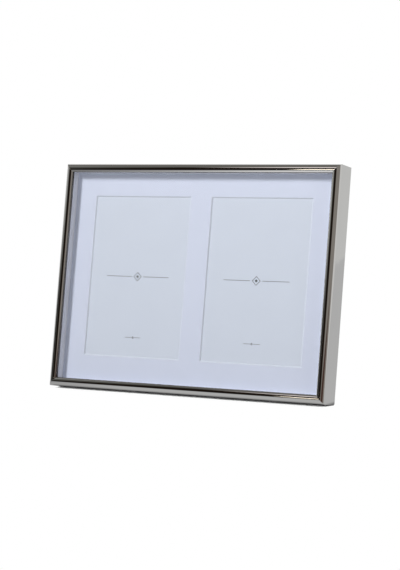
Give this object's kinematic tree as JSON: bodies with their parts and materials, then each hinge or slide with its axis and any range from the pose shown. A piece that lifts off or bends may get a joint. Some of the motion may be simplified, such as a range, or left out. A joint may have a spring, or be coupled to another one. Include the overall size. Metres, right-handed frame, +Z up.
{
  "type": "double photo frame",
  "caption": "Free-standing deep metal frame holding a mat with two upright print windows, leaning on a hinged easel strut; turn buttons hold the back, wire hangers swing.",
  "frame": {"origin": "middle of the bounding box's base, on the table under the frame", "axes": "+X to the right along the frame as seen from the front, -Y out of the front towards the viewer, +Z up; the frame leans back by the lean angle in this rest pose"},
  "size_m": [0.245, 0.058, 0.18],
  "materials": {
    "polished_rail": "mirror polished, nickel-toned plating",
    "key_steel": "zinc-plated stamped steel",
    "screw_steel": "plain steel",
    "glass": "clear float glass",
    "white_spacer": "white paper-wrapped board strip",
    "mat_board": "pale uncoated mat board with a white core",
    "print_paper": "smooth matt paper",
    "filler_card": "plain brown card",
    "flocked_board": "hardboard wrapped in black flock paper",
    "button_steel": "nickel-plated stamped steel",
    "rivet_steel": "nickel-plated",
    "hinge_steel": "nickel-plated stamped steel",
    "hanger_steel": "nickel-plated steel wire and strap"
  },
  "bodies": {
    "frame": {"rail_top": "polished_rail", "rail_bottom": "polished_rail", "rail_left": "polished_rail", "rail_right": "polished_rail", "corner_key_top_left": "key_steel", "corner_key_top_right": "key_steel", "corner_key_bottom_left": "key_steel", "corner_key_bottom_right": "key_steel", "key_screws": "screw_steel", "glass_pane": "glass", "spacer_top": "white_spacer", "spacer_bottom": "white_spacer", "spacer_left": "white_spacer", "spacer_right": "white_spacer", "mat_board": "mat_board", "print_left": "print_paper", "print_right": "print_paper", "filler_card": "filler_card", "back_board": "flocked_board", "button_rivets": "rivet_steel", "board_leaf": "hinge_steel", "board_leaf_rivets": "rivet_steel", "hinge_pin": "hinge_steel", "hanger_strap_left": "hanger_steel", "hanger_strap_right": "hanger_steel", "hanger_rivets": "rivet_steel"},
    "strut": {"strut_board": "flocked_board", "strut_leaf": "hinge_steel", "strut_rivets": "rivet_steel"},
    "button_top_left": {"turn_button_top_left": "button_steel"},
    "button_top_right": {"turn_button_top_right": "button_steel"},
    "button_bottom_left": {"turn_button_bottom_left": "button_steel"},
    "button_bottom_right": {"turn_button_bottom_right": "button_steel"},
    "button_left": {"turn_button_left": "button_steel"},
    "button_right": {"turn_button_right": "button_steel"},
    "ring_left": {"hanger_ring_left": "hanger_steel"},
    "ring_right": {"hanger_ring_right": "hanger_steel"}
  },
  "joints": [
    {"name": "strut_hinge", "type": "hinge", "parent": "frame", "child": "strut", "pos_m": [0, 0.00903, 0.12626], "axis": [1, 0, 0], "range_deg": [-15.5, 0]},
    {"name": "button_turn_top_left", "type": "hinge", "parent": "frame", "child": "button_top_left", "pos_m": [-0.04, 0.0143, 0.16592], "axis": [0, 0.9877, -0.1564], "continuous": true},
    {"name": "button_turn_top_right", "type": "hinge", "parent": "frame", "child": "button_top_right", "pos_m": [0.04, 0.0143, 0.16592], "axis": [0, 0.9877, -0.1564], "continuous": true},
    {"name": "button_turn_bottom_left", "type": "hinge", "parent": "frame", "child": "button_bottom_left", "pos_m": [-0.07, -0.01011, 0.01184], "axis": [0, 0.9877, -0.1564], "continuous": true},
    {"name": "button_turn_bottom_right", "type": "hinge", "parent": "frame", "child": "button_bottom_right", "pos_m": [0.07, -0.01011, 0.01184], "axis": [0, 0.9877, -0.1564], "continuous": true},
    {"name": "button_turn_left", "type": "hinge", "parent": "frame", "child": "button_left", "pos_m": [-0.1105, 0.0021, 0.08888], "axis": [0, 0.9877, -0.1564], "continuous": true},
    {"name": "button_turn_right", "type": "hinge", "parent": "frame", "child": "button_right", "pos_m": [0.1105, 0.0021, 0.08888], "axis": [0, 0.9877, -0.1564], "continuous": true},
    {"name": "ring_swing_left", "type": "hinge", "parent": "frame", "child": "ring_left", "pos_m": [-0.075, 0.01242, 0.148], "axis": [1, 0, 0], "range_deg": [-8.5, 170]},
    {"name": "ring_swing_right", "type": "hinge", "parent": "frame", "child": "ring_right", "pos_m": [0.075, 0.01242, 0.148], "axis": [1, 0, 0], "range_deg": [-8.5, 170]}
  ]
}
